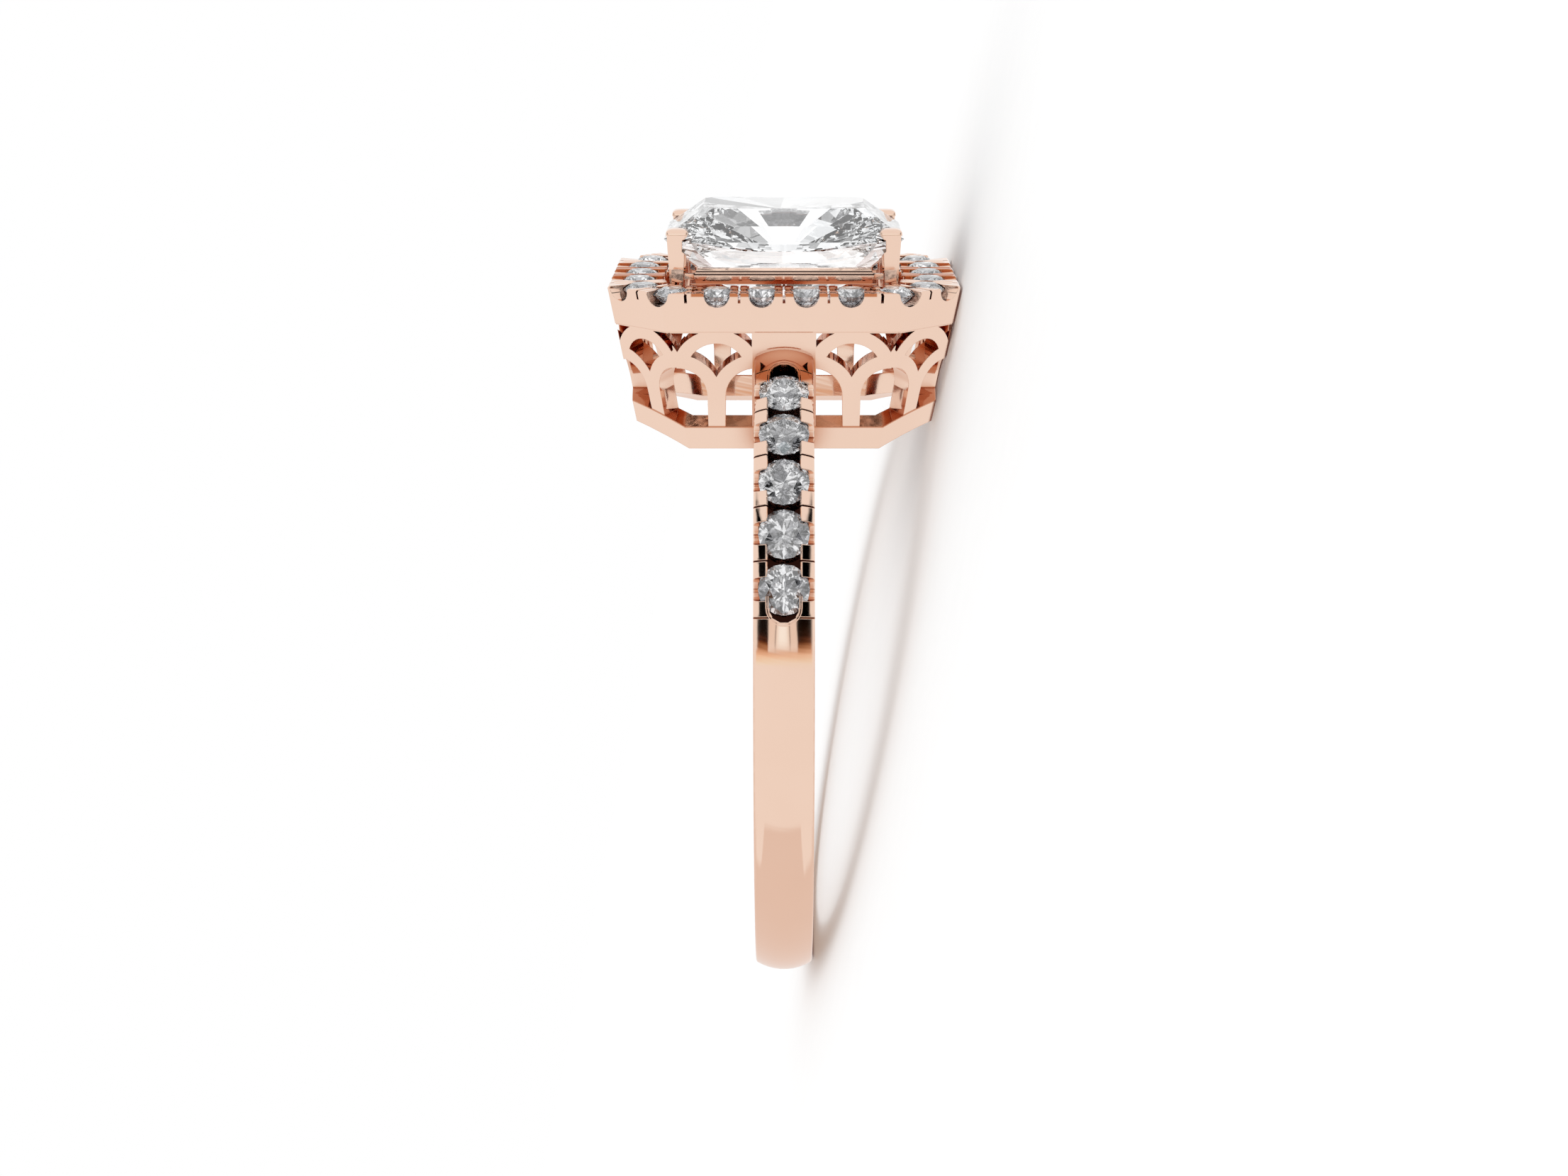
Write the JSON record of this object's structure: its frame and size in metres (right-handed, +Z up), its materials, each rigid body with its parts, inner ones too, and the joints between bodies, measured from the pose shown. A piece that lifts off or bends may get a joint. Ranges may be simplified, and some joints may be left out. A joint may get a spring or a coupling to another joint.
{
  "type": "halo engagement ring",
  "caption": "Ring for a finger, lying on its side: a cut-cornered centre stone in a stone-set halo on a pierced basket, with a domed shank and stone-set shoulders.",
  "frame": {"origin": "centre of the lying ring's box, on the surface that it rests on", "axes": "+X from the foot of the shank towards the head, +Y across the finger hole, +Z up; the finger's axis leans 11.5 degrees from Z in the XZ plane"},
  "size_m": [0.025, 0.022, 0.0106],
  "materials": {
    "rose_gold": "polished rose gold",
    "diamond": "faceted and clear"
  },
  "bodies": {
    "root": {"ring_mount": "rose_gold", "centre_stone": "diamond", "halo_stone_01": "diamond", "halo_stone_02": "diamond", "halo_stone_03": "diamond", "halo_stone_04": "diamond", "halo_stone_05": "diamond", "halo_stone_06": "diamond", "halo_stone_07": "diamond", "halo_stone_08": "diamond", "halo_stone_09": "diamond", "halo_stone_10": "diamond", "halo_stone_11": "diamond", "halo_stone_12": "diamond", "halo_stone_13": "diamond", "halo_stone_14": "diamond", "halo_stone_15": "diamond", "halo_stone_16": "diamond", "halo_stone_17": "diamond", "halo_stone_18": "diamond", "halo_stone_19": "diamond", "halo_stone_20": "diamond", "halo_stone_21": "diamond", "halo_stone_22": "diamond", "shank_stone_01": "diamond", "shank_stone_02": "diamond", "shank_stone_03": "diamond", "shank_stone_04": "diamond", "shank_stone_05": "diamond", "shank_stone_06": "diamond", "shank_stone_07": "diamond", "shank_stone_08": "diamond", "shank_stone_09": "diamond", "shank_stone_10": "diamond"}
  },
  "joints": []
}
